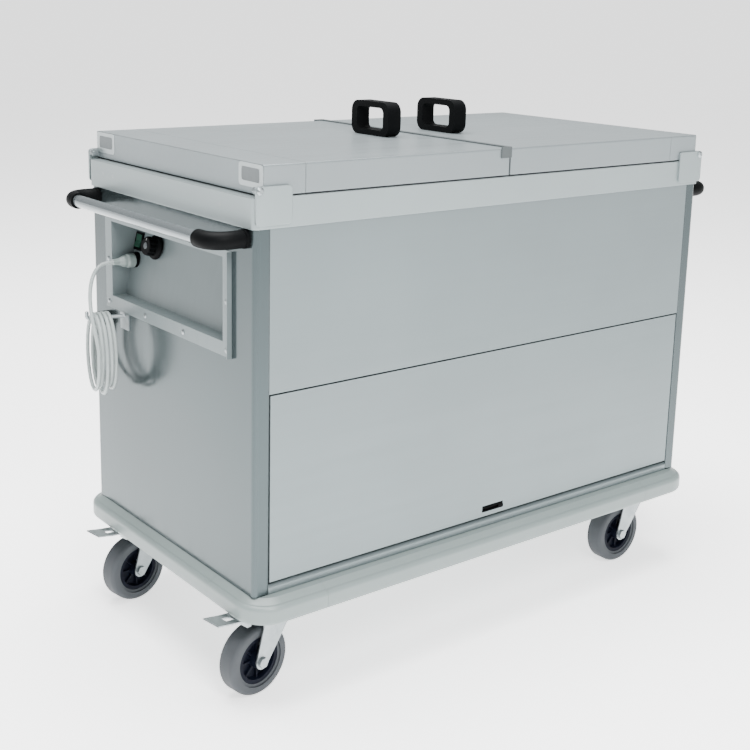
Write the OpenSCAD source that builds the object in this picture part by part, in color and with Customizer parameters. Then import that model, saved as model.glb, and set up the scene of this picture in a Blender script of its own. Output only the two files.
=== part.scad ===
// Heated serving trolley: a closed cabinet on four castors, with two hinged lids
// over its wells, a top-hung service flap and a mains lead hung up on its hook.
// Millimetres, +Z up. X runs along the length, -Y is the front, and the origin
// lies on the floor under the middle of the cabinet.

/* [Cabinet] */
// Length of the cabinet
body_w = 1068; // [1040:1:1160]
// Depth of the cabinet
body_d = 560; // [552:1:640]
// Height of the cabinet walls, from the chassis to the rim
body_h = 617; // [612:1:680]
// Width of the corner posts that the end walls form
post_w = 28; // [24:1:32]
// Radius of the upright corners
corner_r = 8; // [5:1:10]
// Sheet thickness of the outer casing
skin = 2; // [1.5:0.5:2.5]
// Depth of the folded edges of the casing panels
fold = 20; // [14:1:24]
// Sheet thickness of the linings and wells
lining = 1.5; // [1:0.5:2]

/* [Chassis] */
// Height of the chassis
base_h = 42; // [38:1:50]
// How far the chassis stops short of the end walls
base_in = 15; // [10:1:20]
// How far the bumper stands out of the chassis
bumper_out = 36; // [32:1:44]
// Length of a bumper corner along each side
bumper_leg = 148; // [120:1:160]
// Sheet thickness of the chassis
base_t = 3; // [2:0.5:4]

/* [Rim and lids] */
// Height of the rim round the top
rim_h = 46; // [42:1:56]
// How far the rim overhangs the walls
rim_over = 4; // [3:0.5:6]
// Height of the gasket under the lids
gasket_h = 2.6; // [2:0.1:4]
// Thickness of a lid
lid_h = 48; // [44:1:60]
// How far the lids stop short of the ends of the rim
lid_in = 18; // [18:1:22]
// Length of the hinge channel at the outer end of a lid
channel_l = 78; // [60:1:90]
// Gap between the two lids
lid_split = 4; // [3:0.5:6]
// Distance of the hinge pins from the ends of the rim
pin_in = 8.5; // [8:0.1:8.7]
// Height of the hinge pins over the rim
pin_up = 11.5; // [11:0.5:14]
// Diameter of the hinge pins
pin_d = 8; // [6:0.5:8]
// Depth of the wells
well_deep = 190; // [150:1:200]
// Width of the deck outside each well
deck_end = 118; // [114:1:130]
// Width of the deck in front of and behind the wells
deck_side = 34; // [30:1:40]

/* [Lid grips] */
// Length of a grip
grip_l = 113; // [100:1:130]
// Height of a grip
grip_h = 64; // [56:1:74]
// Width of the grip's band
grip_w = 30; // [22:1:34]
// Thickness of the grip's band
grip_t = 11; // [8:1:12]
// Distance of each grip from the split between the lids
grip_x = 80; // [50:1:120]

/* [Service flap] */
// Height of the flap's top edge above the chassis
flap_top = 342; // [320:1:344]
// Thickness of the flap
flap_t = 18; // [16:1:20]
// Gap round the flap
flap_gap = 3; // [2.5:0.5:4]
// Height of the sill under the flap
sill_h = 16; // [14:1:20]
// Gap between the sill and the flap
slot_h = 5; // [4:1:7]
// Length of the latch lever
latch_l = 52; // [40:1:60]

/* [Control recess] */
// Width of the recess
recess_w = 390; // [370:1:396]
// Height of the recess
recess_h = 140; // [134:1:146]
// Distance of the recess's top edge under the rim
recess_drop = 60; // [56:1:64]
// Depth of the recess at its top
recess_deep = 57; // [54:1:60]
// Depth of the recess at its floor
recess_low = 26; // [22:1:30]
// Diameter of the thermostat knob
knob_d = 46; // [40:1:50]

/* [Push bars] */
// Diameter of the push bars
bar_d = 22; // [20:1:24]
// Distance of the push bars from the end walls
bar_out = 60; // [56:1:66]
// Distance of the push bars under the rim
bar_drop = 20; // [19:1:23]

/* [Castors] */
// Diameter of the wheels
wheel_d = 125; // [115:1:128]
// Width of the tyres
tyre_w = 38; // [34:1:40]
// Diameter of the wheel hubs
hub_d = 84; // [76:1:90]
// Overall height of a castor
castor_h = 161; // [161:1:175]
// Trail of a wheel behind its swivel
trail = 38; // [34:1:42]
// Distance of the castors from the chassis ends
castor_end = 58; // [54:1:80]
// Distance of the castors from the chassis sides
castor_side = 60; // [56:1:80]
// Diameter of the axles
axle_d = 10; // [8:1:12]

/* [Mains lead] */
// Diameter of the lead
cord_d = 7; // [6:0.5:7]

/* [Hidden] */
$fn = 64;

// Colours
steel = "#b6bdbe";
bright = "#cdd3d3";
grey_plastic = "#b9c4c1";
black = "#17181a";
dark_rubber = "#4a4f50";
zinc = "#c5cbcc";
tyre_grey = "#7f8386";
cord_white = "#e4e6e4";

// Fits: shafts in their holes, faces that pass each other, sheets in their cuts
run_gap = 0.05;
pass_gap = 0.5;
rest_gap = 0.4;
cut_gap = 0.4;

// Levels
base_z = castor_h;
body_z = base_z + base_h;
rim_z = body_z + body_h;
deck_z = rim_z + rim_h;
lid_z = deck_z + gasket_h + rest_gap;
top_z = lid_z + lid_h;

// Half sizes in plan
body_x = body_w / 2;
body_y = body_d / 2;
rim_x = body_x + rim_over;
rim_y = body_y + rim_over;
base_x = body_x - base_in;
base_y = body_y - 2;
post_x = body_x - post_w;
lid_x = rim_x - lid_in;
lid_y = rim_y - pass_gap;
pin_x = rim_x - pin_in;
pin_z = deck_z + pin_up;

// A flat plate with rounded corners, drawn from squares and circles
module rounded(w, d, r) {
    square([w - 2 * r, d], center = true);
    square([w, d - 2 * r], center = true);
    for (x = [-1, 1], y = [-1, 1])
        translate([x * (w / 2 - r), y * (d / 2 - r)])
            circle(r);
}

// A block between two corners
module block(lo, hi) {
    translate(lo)
        cube(hi - lo);
}

// Turns a profile drawn in (y, z) into a bar along X from x0 to x1
module along_x(x0, x1) {
    translate([x0, 0, 0])
        rotate([90, 0, 90])
            linear_extrude(x1 - x0)
                children();
}

// Turns a profile drawn in (x, z) into a bar along Y from y0 to y1
module along_y(y0, y1) {
    translate([0, y1, 0])
        rotate([90, 0, 0])
            linear_extrude(y1 - y0)
                children();
}

// A rod along Y or X through a point
module rod_y(x, z, d, y0, y1) {
    translate([x, y1, z])
        rotate([90, 0, 0])
            cylinder(d = d, h = y1 - y0);
}

module rod_x(y, z, d, x0, x1) {
    translate([x0, y, z])
        rotate([0, 90, 0])
            cylinder(d = d, h = x1 - x0);
}

// ---- Chassis and bumper ----

base_r = 24;
plate_pad = 4;
bearer_h = 16;
plate_l = 104;
plate_w = 86;
castor_x = base_x - castor_end;
castor_y = base_y - castor_side;
fork_clear = 0.3;

module chassis() {
    color(steel) {
        difference() {
            translate([0, 0, base_z])
                linear_extrude(base_h)
                    rounded(2 * base_x, 2 * base_y, base_r);
            translate([0, 0, base_z - 1])
                linear_extrude(base_h + 1 - base_t)
                    rounded(2 * (base_x - base_t), 2 * (base_y - base_t), base_r - base_t);
        }
        // Pads that the castors bolt to, and two bearers across the chassis
        pad_x0 = castor_x - plate_l / 2 + 2;
        pad_x1 = min(castor_x + plate_l / 2 - 2, base_x - base_r - pass_gap);
        for (x = [0, 1], y = [0, 1])
            mirror([x, 0, 0])
                mirror([0, y, 0])
                    block([pad_x0, castor_y - plate_w / 2, base_z],
                        [pad_x1, base_y - 1, base_z + plate_pad]);
        for (x = [-1, 1])
            block([x * castor_x - 20, 1 - base_y, body_z - base_t - bearer_h],
                [x * castor_x + 20, base_y - 1, body_z - base_t]);
    }
}

// Bumper section: u runs outwards from the chassis, v up from its underside
nose_r = 9;
module bumper_section() {
    difference() {
        union() {
            polygon([[0, 0], [bumper_out - nose_r, 0], [bumper_out, nose_r],
                [bumper_out, base_h - 8 - nose_r], [bumper_out - nose_r, base_h - 8],
                [base_in, base_h - 0.5], [0, base_h - 0.5]]);
            translate([bumper_out - nose_r, nose_r])
                circle(nose_r);
            translate([bumper_out - nose_r, base_h - 8 - nose_r])
                circle(nose_r);
        }
        // hollow underneath, as a moulded section is
        translate([4, -1])
            square([bumper_out - 10, base_h - 16]);
    }
}

module bumper_leg_piece(l) {
    translate([0, 0, base_z])
        rotate([90, 0, 90])
            linear_extrude(l)
                mirror([1, 0])
                    bumper_section();
}

bump_x = base_x + bumper_out;
bump_y = base_y + bumper_out;
joint_x = bump_x - bumper_leg;
joint_y = bump_y - bumper_leg;

module bumper_corner() {
    translate([base_x - base_r, base_y - base_r, base_z])
        rotate_extrude(angle = 90)
            translate([base_r, 0])
                bumper_section();
    // the leg along the long side, then the one along the end
    translate([joint_x, base_y, base_z])
        rotate([90, 0, 90])
            linear_extrude(base_x - base_r - joint_x)
                bumper_section();
    translate([base_x, joint_y, base_z])
        mirror([0, 1, 0])
            rotate([90, 0, 0])
                linear_extrude(base_y - base_r - joint_y)
                    bumper_section();
}

module bumper_corners() {
    color(grey_plastic)
        for (x = [0, 1], y = [0, 1])
            mirror([x, 0, 0])
                mirror([0, y, 0])
                    bumper_corner();
}

joint_gap = 0.4;
module bumper_rails() {
    color(grey_plastic) {
        for (y = [0, 1])
            mirror([0, y, 0])
                translate([joint_gap - joint_x, base_y, base_z])
                    rotate([90, 0, 90])
                        linear_extrude(2 * (joint_x - joint_gap))
                            bumper_section();
        for (x = [0, 1])
            mirror([x, 0, 0])
                translate([base_x, joint_gap - joint_y, base_z])
                    mirror([0, 1, 0])
                        rotate([90, 0, 0])
                            linear_extrude(2 * (joint_y - joint_gap))
                                bumper_section();
    }
}

// ---- Control recess sizes that the end wall shares ----

recess_y = 7;
recess_y0 = recess_y - recess_w / 2;
recess_y1 = recess_y + recess_w / 2;
recess_z1 = rim_z - recess_drop;
recess_z0 = recess_z1 - recess_h;
bezel_edge = 25;
bezel_top = 12;

// Screws: [y, z] on the left end wall, then on both ends of the rim
bezel_screws = [[recess_y1 + 13, recess_z0 - 13], [recess_y + 69, recess_z0 - 13],
    [recess_y - 66, recess_z0 - 13], [recess_y0 - 12, recess_z0 - 13],
    [recess_y0 - 12, recess_z0 + 68], [recess_y1 + 13, recess_z0 + 68]];
rim_screw_in = [58, 96, 100];
rim_screw_z = rim_z + 24;
rim_screws = [[rim_y - rim_screw_in[0], rim_screw_z], [rim_y - rim_screw_in[1], rim_screw_z],
    [rim_screw_in[2] - rim_y, rim_screw_z]];
screw_d = 4;
screw_hole = screw_d + 0.4;
screw_head = 9;
sunk_h = 1.8;

// ---- Casing ----

module end_wall() {
    difference() {
        translate([0, 0, body_z])
            linear_extrude(body_h)
                difference() {
                    rounded(body_w, body_d, corner_r);
                    rounded(body_w - 2 * skin, body_d - 2 * skin, corner_r - skin);
                    translate([-body_w, -body_d])
                        square([body_w + post_x, 2 * body_d]);
                }
    }
    // folded edges of the posts, front and back
    for (y = [0, 1])
        mirror([0, y, 0])
            block([post_x, skin / 2 - body_y, body_z], [post_x + skin, fold - body_y, body_z + body_h]);
}

flap_z0 = body_z + sill_h + slot_h;
flap_z1 = body_z + flap_top;
flap_x = post_x - flap_gap;
pivot_y = flap_t / 2 - body_y;
pivot_drop = 14;
pivot_z = flap_z1 - pivot_drop;
pivot_d = 6;

module pivot_holes() {
    for (x = [-1, 1])
        rod_x(pivot_y, pivot_z, pivot_d + 2 * run_gap, x * (post_x + 10) - 15, x * (post_x + 10) + 15);
}

module end_wall_right() {
    color(steel)
        difference() {
            end_wall();
            pivot_holes();
        }
}

module end_wall_left() {
    color(steel)
        difference() {
            mirror([1, 0, 0])
                end_wall();
            pivot_holes();
            block([-body_x - 5, recess_y0 - lining - cut_gap, recess_z0 - lining - cut_gap],
                [5 - body_x, recess_y1 + lining + cut_gap, recess_z1 + lining + cut_gap]);
            for (s = bezel_screws)
                rod_x(s[0], s[1], screw_hole, -body_x - 5, 5 - body_x);
        }
}

// A sheet panel with folded edges, open to the inside of the cabinet
module tray_panel(x, z0, z1) {
    difference() {
        block([-x, -body_y, z0], [x, fold - body_y, z1]);
        block([skin - x, skin - body_y, z0 + skin], [x - skin, fold + 1 - body_y, z1 - skin]);
    }
}

panel_gap = 0.6;
module back_panel() {
    color(steel)
        mirror([0, 1, 0])
            tray_panel(post_x - panel_gap, body_z, rim_z);
}

module front_panel() {
    color(steel)
        tray_panel(post_x - panel_gap, flap_z1 + flap_gap, rim_z);
}

sill_r = 7;
stud_x = 448;
module front_sill() {
    color(steel) {
        along_x(panel_gap - post_x, post_x - panel_gap) {
            difference() {
                union() {
                    translate([-body_y, body_z])
                        square([fold, sill_h - sill_r]);
                    translate([sill_r - body_y, body_z])
                        square([fold - sill_r, sill_h]);
                    translate([sill_r - body_y, body_z + sill_h - sill_r])
                        circle(sill_r);
                }
                translate([skin - body_y, body_z + skin])
                    square([fold, sill_h - sill_r - skin]);
            }
        }
        // buffers that the closed flap's lower edge rests over
        for (x = [-1, 1])
            translate([x * min(stud_x, post_x - 40), 12 - body_y, body_z + sill_h])
                cylinder(d = 8, h = slot_h - rest_gap);
    }
}

// Clear of the flap's upper edge as that swings in
swing_r = sqrt(pow(flap_t / 2, 2) + pow(pivot_drop, 2));
lining_y0 = pivot_y + swing_r + 1.5;
lining_y1 = body_y - fold;
lining_x = post_x - 2;
lining_top = flap_z1 - 2;

module compartment_lining() {
    color(bright)
        difference() {
            block([-lining_x, lining_y0, body_z], [lining_x, lining_y1, lining_top]);
            block([lining - lining_x, lining_y0 - 1, body_z + lining],
                [lining_x - lining, lining_y1 - lining, lining_top - lining]);
        }
}

// ---- Rim, wells and heating ----

rim_drop = 3;
well_in = 30;
well_r = 20;
well_x0 = well_in;
well_x1 = rim_x - deck_end;
well_y = rim_y - deck_side;
well_flange = 10;

module well_plan(grow) {
    translate([(well_x0 + well_x1) / 2, 0])
        rounded(well_x1 - well_x0 + 2 * grow, 2 * (well_y + grow), well_r + grow);
}

module top_rim() {
    color(steel)
        difference() {
            translate([0, 0, rim_z - rim_drop])
                linear_extrude(rim_h + rim_drop)
                    rounded(2 * rim_x, 2 * rim_y, corner_r + rim_over);
            // room inside the rim, over its seat on the walls
            translate([0, 0, rim_z + skin])
                linear_extrude(rim_h - 2 * skin)
                    rounded(2 * (rim_x - skin), 2 * (rim_y - skin), corner_r + rim_over - skin);
            // the seat's opening, and the step that lips over the walls
            translate([0, 0, rim_z - rim_drop - 1])
                linear_extrude(rim_drop + 2 + skin)
                    rounded(2 * (body_x - fold), 2 * (body_y - fold), corner_r);
            translate([0, 0, rim_z - rim_drop - 1])
                linear_extrude(rim_drop + 1)
                    rounded(2 * (body_x + pass_gap), 2 * (body_y + pass_gap), corner_r + pass_gap);
            for (x = [0, 1])
                mirror([x, 0, 0])
                    translate([0, 0, deck_z - 2 * skin])
                        linear_extrude(3 * skin)
                            well_plan(cut_gap);
            for (s = rim_screws, x = [-1, 1])
                rod_x(s[0], s[1], screw_hole, x * rim_x - 5, x * rim_x + 5);
            for (s = rim_screws, x = [0, 1])
                mirror([x, 0, 0])
                    translate([rim_x - sunk_h, s[0], s[1]])
                        rotate([0, 90, 0])
                            cylinder(d1 = screw_hole, d2 = screw_hole + 2 * sunk_h + 2, h = sunk_h + 1);
        }
}

gasket_w = 8;
gasket_in = 4;
module rim_gasket() {
    gasket_x = lid_x - gasket_in;
    gasket_y = lid_y - gasket_in;
    color(black)
        translate([0, 0, deck_z])
            linear_extrude(gasket_h) {
                difference() {
                    square([2 * gasket_x, 2 * gasket_y], center = true);
                    square([2 * (gasket_x - gasket_w), 2 * (gasket_y - gasket_w)], center = true);
                }
                square([2 * gasket_w, 2 * gasket_y], center = true);
            }
}

module well() {
    color(bright)
        difference() {
            union() {
                translate([0, 0, deck_z - well_deep])
                    linear_extrude(well_deep)
                        well_plan(0);
                translate([0, 0, deck_z])
                    linear_extrude(lining)
                        well_plan(well_flange);
            }
            translate([0, 0, deck_z - well_deep + lining])
                linear_extrude(well_deep + 1)
                    well_plan(-lining);
        }
}

module well_right() {
    well();
}

module well_left() {
    mirror([1, 0, 0])
        well();
}

// Dry-heating elements under the wells: a meander of sheathed rod
element_d = 8;
element_gap = 44;
element_in = 16;
module heating_elements() {
    element_z = deck_z - well_deep - element_d / 2;
    run_y = well_y - element_gap - element_in;
    runs = 3;
    color(zinc)
        for (x = [0, 1])
            mirror([x, 0, 0])
                translate([(well_x0 + well_x1) / 2, 0, element_z]) {
                    for (i = [-runs:2:runs])
                        translate([i * element_gap, 0, 0])
                            rotate([90, 0, 0])
                                cylinder(d = element_d, h = 2 * run_y, center = true, $fn = 24);
                    for (i = [1 - runs:2:runs - 1])
                        translate([i * element_gap, run_y * ((i + runs - 1) % 4 == 0 ? 1 : -1), 0])
                            rotate([0, 0, (i + runs - 1) % 4 == 0 ? 0 : 180])
                                rotate_extrude(angle = 180, $fn = 24)
                                    translate([element_gap, 0])
                                        circle(d = element_d, $fn = 24);
                }
}

// ---- Lid hinges ----

cheek_t = 4;
cheek_l = 67;
cheek_r = 7;
head_d = 13;

module hinge_cheeks() {
    cheek_x0 = pin_x + cheek_r - cheek_l;
    cheek_z0 = rim_z + 3;
    color(bright)
        for (x = [0, 1], y = [0, 1])
            mirror([x, 0, 0])
                mirror([0, y, 0])
                    difference() {
                        along_y(-rim_y - cheek_t, -rim_y)
                            translate([cheek_x0 + cheek_l / 2, (cheek_z0 + pin_z + cheek_r) / 2])
                                rounded(cheek_l, pin_z + cheek_r - cheek_z0, cheek_r);
                        rod_y(pin_x, pin_z, pin_d + 2 * run_gap, -rim_y - cheek_t - 1, 1 - rim_y);
                    }
}

ear_t = 5;
module hinge_pins() {
    color(zinc)
        for (x = [0, 1], y = [0, 1])
            mirror([x, 0, 0])
                mirror([0, y, 0])
                    translate([pin_x, -rim_y - cheek_t, pin_z])
                        rotate([-90, 0, 0]) {
                            cylinder(d = pin_d, h = cheek_t + pass_gap + ear_t + 6);
                            // domed head outside the cheek, nut inside the ear
                            rotate_extrude()
                                polygon([[0, -4], [head_d / 2 - 3, -4], [head_d / 2, -1.5],
                                    [head_d / 2, 0], [0, 0]]);
                            translate([0, 0, cheek_t + pass_gap + ear_t + rest_gap])
                                cylinder(d = head_d, h = 4, $fn = 6);
                        }
}

// ---- Lids ----

lid_r = 3;
seam = 0.5;
lid_x0 = lid_split / 2;
channel_x = lid_x - channel_l;

module lid_section(inset) {
    y = lid_y - inset;
    h = lid_h - inset;
    r = max(lid_r - inset, 0.5);
    translate([-y, lid_z])
        square([2 * y, h - r]);
    translate([r - y, lid_z])
        square([2 * (y - r), h]);
    for (s = [-1, 1])
        translate([s * (y - r), lid_z + h - r])
            circle(r);
}

module lid_shell() {
    color(steel)
        difference() {
            along_x(lid_x0, channel_x - seam)
                lid_section(0);
            along_x(lid_x0 + skin, channel_x + 1)
                translate([0, -1])
                    lid_section(skin);
            block([lid_x0 + skin, skin - lid_y, lid_z - 1], [channel_x + 1, lid_y - skin, lid_z + 4]);
        }
}

// Thin pads on the lid's end that meet the rim when the lid is folded right over
pad_t = lid_in - 2 * pin_in - 0.3;
pad_l = 50;
pad_h = 21;
pad_in = 12;
pad_down = 8;
module lid_channel() {
    color(steel)
        difference() {
            union() {
                difference() {
                    along_x(channel_x, lid_x)
                        lid_section(0);
                    along_x(channel_x - 1, lid_x - skin)
                        translate([0, -1])
                            lid_section(skin);
                    block([channel_x - 1, skin - lid_y, lid_z - 1],
                        [lid_x - skin, lid_y - skin, lid_z + 4]);
                }
                for (y = [0, 1])
                    mirror([0, y, 0]) {
                        along_y(-lid_y, ear_t - lid_y) {
                            translate([pin_x, pin_z])
                                circle(cheek_r - 0.5);
                            translate([lid_x - 8, pin_z - cheek_r + 0.5])
                                square([pin_x - lid_x + 8, 2 * cheek_r - 1]);
                        }
                        block([lid_x - 0.1, pad_in - lid_y, top_z - pad_down - pad_h],
                            [lid_x + pad_t, pad_in + pad_l - lid_y, top_z - pad_down]);
                    }
            }
            for (y = [0, 1])
                mirror([0, y, 0])
                    rod_y(pin_x, pin_z, pin_d + 2 * run_gap, -lid_y - 1, ear_t + 1 - lid_y);
        }
}

// Inner pan of a lid, pressed up between its skirts
lining_up = 10;
module lid_lining() {
    color(bright)
        difference() {
            block([lid_x0 + skin, skin - lid_y, lid_z + 1],
                [lid_x - skin, lid_y - skin, lid_z + 1 + lining_up]);
            block([lid_x0 + skin + lining, skin + lining - lid_y, lid_z + 1 + lining],
                [lid_x - skin - lining, lid_y - skin - lining, lid_z + 2 + lining_up]);
            // room for the hinge ears
            for (y = [0, 1])
                mirror([0, y, 0])
                    block([lid_x - 9, -lid_y, lid_z], [lid_x, ear_t + 1 - lid_y, top_z]);
        }
}

grip_r = 19;
grip_y = 0;
module lid_grip() {
    color(black)
        along_x(lid_x0 + grip_x - grip_w / 2, lid_x0 + grip_x + grip_w / 2)
            translate([grip_y, top_z + grip_h / 2])
                difference() {
                    rounded(grip_l, grip_h, grip_r);
                    rounded(grip_l - 3 * grip_t, grip_h - 2 * grip_t, grip_r - grip_t + 2);
                }
}

strip_w = 10;
strip_t = 2.5;
strip_gap = 0.5;
tab_w = 24;
tab_h = 17;
module lid_strip() {
    strip_x = lid_split / 2 - strip_gap;
    color(dark_rubber) {
        block([strip_x - strip_w, -lid_y - strip_t, top_z], [strip_x, lid_y + strip_t, top_z + strip_t]);
        // ends folded down over the skirts of the left lid
        for (y = [0, 1])
            mirror([0, y, 0])
                block([strip_x - tab_w, -lid_y - strip_t, top_z - tab_h], [strip_x, -lid_y, top_z + strip_t]);
    }
}

module lid_shell_right() {
    lid_shell();
}

module lid_shell_left() {
    mirror([1, 0, 0])
        lid_shell();
}

module lid_channel_right() {
    lid_channel();
}

module lid_channel_left() {
    mirror([1, 0, 0])
        lid_channel();
}

module lid_lining_right() {
    lid_lining();
}

module lid_lining_left() {
    mirror([1, 0, 0])
        lid_lining();
}

module lid_grip_right() {
    lid_grip();
}

module lid_grip_left() {
    mirror([1, 0, 0])
        lid_grip();
}

// ---- Service flap ----

latch_h = 11;
latch_z = flap_z0 + 9;

module flap_shell() {
    color(steel)
        difference() {
            block([-flap_x, -body_y, flap_z0], [flap_x, flap_t - lining - body_y, flap_z1]);
            block([skin - flap_x, skin - body_y, flap_z0 + skin],
                [flap_x - skin, flap_t - body_y, flap_z1 - skin]);
            pivot_holes();
            // slot for the latch
            block([-latch_l / 2 - pass_gap, -body_y - 1, latch_z - pass_gap],
                [latch_l / 2 + pass_gap, skin + 1 - body_y, latch_z + latch_h + pass_gap]);
        }
    // ears that the latch turns in
    color(steel)
        for (x = [0, 1])
            mirror([x, 0, 0])
                difference() {
                    block([latch_l / 2 + pass_gap, skin - body_y, latch_axis_z - 5],
                        [latch_l / 2 + pass_gap + latch_ear, skin + 6 - body_y, latch_axis_z + 5]);
                    rod_x(latch_y, latch_axis_z, latch_pin + 2 * run_gap, 0, latch_l);
                }
}

module flap_lining() {
    color(bright)
        block([-flap_x, flap_t - lining - body_y, flap_z0], [flap_x, flap_t - body_y, flap_z1]);
}

pivot_l = 26;
module flap_pivots() {
    color(zinc)
        for (x = [0, 1])
            mirror([x, 0, 0]) {
                rod_x(pivot_y, pivot_z, pivot_d, flap_x - pivot_l / 2, post_x + skin + 4);
                rod_x(pivot_y, pivot_z, pivot_d + 4, post_x + skin, post_x + skin + 3);
            }
}

// Latch lever with a finger lip, turning on stub pins near its upper edge
latch_pin = 2.4;
latch_y = 4 - body_y;
latch_axis_z = latch_z + latch_h - 2;
latch_ear = 3;
module flap_latch() {
    back = skin + 3 - body_y;
    color(black) {
        difference() {
            along_x(-latch_l / 2, latch_l / 2)
                polygon([[-body_y - 1.5, latch_z], [skin - body_y, latch_z], [back, latch_z + 3],
                    [back, latch_z + latch_h], [back - 2.5, latch_z + latch_h],
                    [-body_y, latch_z + latch_h - 2.5], [-body_y - 1.5, latch_z + 5]]);
            // finger hollow
            along_x(-latch_l / 2 - 1, latch_l / 2 - 12)
                polygon([[-body_y - 2, latch_z + 2], [skin + 1 - body_y, latch_z + 2],
                    [skin + 1 - body_y, latch_z + 7], [-body_y - 2, latch_z + 7]]);
        }
        for (x = [-1, 1])
            rod_x(latch_y, latch_axis_z, latch_pin, x * (latch_l / 2 + 1) - 2, x * (latch_l / 2 + 1) + 2);
    }
}

// ---- Controls in the recess ----

slope = atan((recess_deep - recess_low) / recess_h);
bezel_drop = 24;
knob_y = recess_y1 - 86;
knob_z = recess_z0 + 100;
switch_y = recess_y1 - 16;
switch_z = recess_z0 + 100;
plug_y = recess_y1 - 16;
plug_z = recess_z0 + 66;
switch_l = 34;
switch_w = 27;
socket_d = 28;
bush_d = 10;

function recess_depth(z) = recess_low + (recess_deep - recess_low) * (z - recess_z0) / recess_h;

// Places a control on the sloping panel, its own +Z pointing out of the panel
module on_panel(y, z) {
    translate([recess_depth(z) - body_x, y, z])
        rotate([0, slope - 90, 0])
            children();
}

module recess_side(grow) {
    polygon([[-body_x - 5 + 5 * sign(grow), recess_z0 - grow], [recess_low + grow - body_x, recess_z0 - grow],
        [recess_deep + grow - body_x, recess_z1 + grow], [-body_x - 5 + 5 * sign(grow), recess_z1 + grow]]);
}

module control_recess() {
    bezel_y0 = recess_y0 - bezel_edge;
    color(steel)
        difference() {
            union() {
                along_y(recess_y0 - lining, recess_y1 + lining)
                    recess_side(lining);
                block([-body_x - lining, bezel_y0, recess_z0 - bezel_drop],
                    [-body_x, recess_y1 + bezel_edge, recess_z1 + bezel_top]);
                // edge turned outwards along the front of the bezel
                block([-body_x - 9, bezel_y0, recess_z0 - bezel_drop],
                    [-body_x, bezel_y0 + lining, recess_z1 + bezel_top]);
            }
            along_y(recess_y0, recess_y1)
                recess_side(0);
            block([-body_x - 5, recess_y0, recess_z0], [1 - body_x, recess_y1, recess_z1]);
            on_panel(knob_y, knob_z)
                cylinder(d = bush_d + cut_gap, h = 12, center = true);
            on_panel(switch_y, switch_z)
                cube([switch_l - 4 + cut_gap, switch_w - 4 + cut_gap, 12], center = true);
            rod_x(plug_y, plug_z, socket_d + cut_gap, 1 - body_x, 80 - body_x);
            for (s = bezel_screws)
                rod_x(s[0], s[1], screw_hole, -body_x - 5, 5 - body_x);
        }
}

// A screw with a domed head, its shank along local -Z
module screw(shank) {
    rotate_extrude($fn = 32)
        polygon([[0, -shank], [screw_d / 2, -shank], [screw_d / 2, 0], [screw_head / 2, 0],
            [screw_head / 2, 0.8], [screw_head / 2 - 2, 2.2], [0, 2.4]]);
}

// A countersunk screw, its head level with the sheet
module sunk_screw(shank) {
    rotate_extrude($fn = 32)
        polygon([[0, -shank], [screw_d / 2, -shank], [screw_d / 2, -sunk_h], [screw_d / 2 + sunk_h, 0],
            [0, 0]]);
}

module casing_screws() {
    color(zinc) {
        for (s = bezel_screws)
            translate([-body_x - lining, s[0], s[1]])
                rotate([0, -90, 0])
                    screw(lining + skin + 3);
        for (s = rim_screws, x = [0, 1])
            mirror([x, 0, 0])
                translate([rim_x, s[0], s[1]])
                    rotate([0, 90, 0])
                        sunk_screw(skin + 3);
    }
}

// Thermostat behind the panel: its bush passes the panel, its spindle bore is open
spindle_d = 6;
spindle_in = 10;
module thermostat() {
    color(black)
        on_panel(knob_y, knob_z)
            difference() {
                union() {
                    translate([0, 0, -26])
                        cylinder(d = 40, h = 26 - lining - 0.3);
                    translate([0, 0, -3])
                        cylinder(d = bush_d, h = 6);
                    for (x = [-1, 1])
                        translate([x * 12, 0, -29])
                            cube([6, 1.5, 8], center = true);
                }
                translate([0, 0, -spindle_in - 1])
                    cylinder(d = spindle_d + 2 * run_gap, h = 30);
            }
}

knob_z0 = 3.6;
knob_h = 23;
module thermostat_knob() {
    r = knob_d / 2;
    color(black)
        on_panel(knob_y, knob_z)
            difference() {
                union() {
                    rotate_extrude()
                        polygon([[0, -spindle_in], [spindle_d / 2, -spindle_in], [spindle_d / 2, knob_z0],
                            [r, knob_z0], [r, knob_z0 + 3], [r - 2, knob_z0 + 6], [r - 5, knob_z0 + 8],
                            [r - 6, knob_z0 + knob_h - 2], [r - 8, knob_z0 + knob_h], [0, knob_z0 + knob_h]]);
                }
                // finger flutes round the grip
                for (a = [0:30:359])
                    rotate([0, 0, a + 15])
                        translate([r - 3.2, 0, knob_z0 + 9])
                            cylinder(r = 4, h = knob_h, $fn = 24);
            }
}

rocker_pin = 3;
rocker_drop = 4;
rocker_tilt = 7;
module switch_housing() {
    color(black)
        on_panel(switch_y, switch_z)
            difference() {
                union() {
                    translate([0, 0, 1.5])
                        cube([switch_l, switch_w, 3], center = true);
                    translate([0, 0, -10])
                        cube([switch_l - 4, switch_w - 4, 20], center = true);
                    for (x = [-9, 0, 9])
                        translate([x, 0, -23])
                            cube([1, 6, 8], center = true);
                }
                translate([0, 0, -2.5])
                    cube([switch_l - 6.4, 20, 13], center = true);
                translate([0, 0, -rocker_drop])
                    rotate([90, 0, 0])
                        cylinder(d = rocker_pin + 2 * run_gap, h = 23, center = true, $fn = 24);
            }
}

module switch_rocker() {
    color("#2f7d52")
        on_panel(switch_y, switch_z)
            translate([0, 0, -rocker_drop])
                rotate([0, rocker_tilt, 0]) {
                    rotate([90, 0, 0])
                        linear_extrude(19.2, center = true)
                            polygon([[-9, -3], [9, -3], [12, 9.2], [0, 7], [-12, 9.2]]);
                    rotate([90, 0, 0])
                        cylinder(d = rocker_pin, h = 22.4, center = true, $fn = 24);
                }
}

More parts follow.
